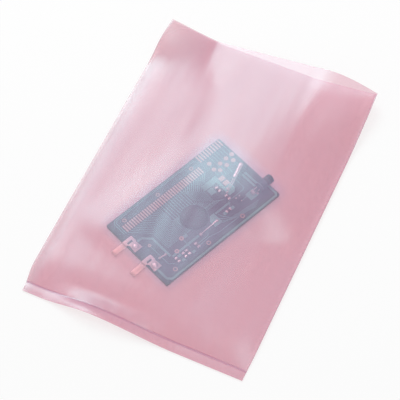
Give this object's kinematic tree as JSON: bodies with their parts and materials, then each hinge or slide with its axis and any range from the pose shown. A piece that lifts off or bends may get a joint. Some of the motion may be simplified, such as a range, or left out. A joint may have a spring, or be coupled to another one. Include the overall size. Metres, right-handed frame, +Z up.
{
  "type": "anti-static bag with a circuit board",
  "caption": "Flat see-through pink film bag, heat sealed at one end and open at the other, with a small bare circuit board lying loose inside it.",
  "frame": {"origin": "middle of the bag's footprint, on the surface that it lies on", "axes": "+X across the bag, +Y along the bag from the heat seal to the open mouth, +Z up"},
  "size_m": [0.1018, 0.15, 0.01],
  "materials": {
    "film": "thin see-through pink polyethylene film, softly glossy",
    "laminate": "dark green solder mask over copper",
    "epoxy": "black epoxy, satin",
    "can_metal": "plated steel can",
    "sleeve": "shrunk plastic sleeve, dark blue-green",
    "clip_metal": "plated spring sheet metal",
    "tinned_wire": "tinned copper wire with solder",
    "solder": "solder, dull bright",
    "chip_ceramic": "ceramic chip with tinned ends",
    "moulding": "black moulded package"
  },
  "bodies": {
    "root": {"bag_film": "film", "circuit_board": "laminate", "chip_blob": "epoxy", "crystal_can": "can_metal", "crystal_lead_1": "tinned_wire", "crystal_lead_2": "tinned_wire", "capacitor_body": "sleeve", "capacitor_lead_1": "tinned_wire", "capacitor_lead_2": "tinned_wire", "battery_clip_1": "clip_metal", "battery_clip_2": "clip_metal", "clip_solder_1": "solder", "clip_solder_2": "solder", "jumper_wire_long": "tinned_wire", "jumper_wire_short": "tinned_wire", "chip_part_1": "chip_ceramic", "chip_part_2": "chip_ceramic", "chip_part_3": "chip_ceramic", "chip_part_4": "chip_ceramic", "chip_part_5": "chip_ceramic", "chip_part_6": "chip_ceramic", "chip_part_7": "chip_ceramic", "transistor_body": "moulding", "transistor_pin_1": "tinned_wire", "transistor_pin_2": "tinned_wire", "transistor_pin_3": "tinned_wire"}
  },
  "joints": []
}
